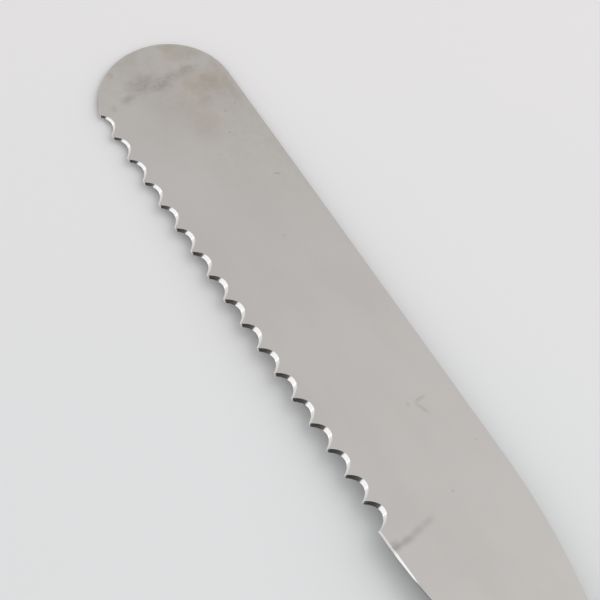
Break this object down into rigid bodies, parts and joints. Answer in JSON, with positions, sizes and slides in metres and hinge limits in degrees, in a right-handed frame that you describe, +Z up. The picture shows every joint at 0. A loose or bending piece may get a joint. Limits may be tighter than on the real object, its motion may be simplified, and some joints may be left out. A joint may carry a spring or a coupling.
{
  "type": "cheese knife",
  "caption": "Table knife for cheese: flat steel blade with a round tip and a scalloped edge ground from one face, full tang, riveted wooden handle scales, lying on its side.",
  "frame": {"origin": "under the middle of the knife's box, on the surface that the knife lies on", "axes": "+X from the butt to the tip, +Y from the spine to the cutting edge, +Z up from the surface"},
  "size_m": [0.2328, 0.0224, 0.0145],
  "materials": {
    "blade_steel": "satin, with faint stains near the tip",
    "handle_wood": "oiled",
    "rivet_brass": "ground flush, satin"
  },
  "bodies": {
    "root": {"blade": "blade_steel", "upper_scale": "handle_wood", "lower_scale": "handle_wood", "front_rivet_socket": "rivet_brass", "front_rivet_stud": "rivet_brass", "middle_rivet_socket": "rivet_brass", "middle_rivet_stud": "rivet_brass", "rear_rivet_socket": "rivet_brass", "rear_rivet_stud": "rivet_brass"}
  },
  "joints": []
}
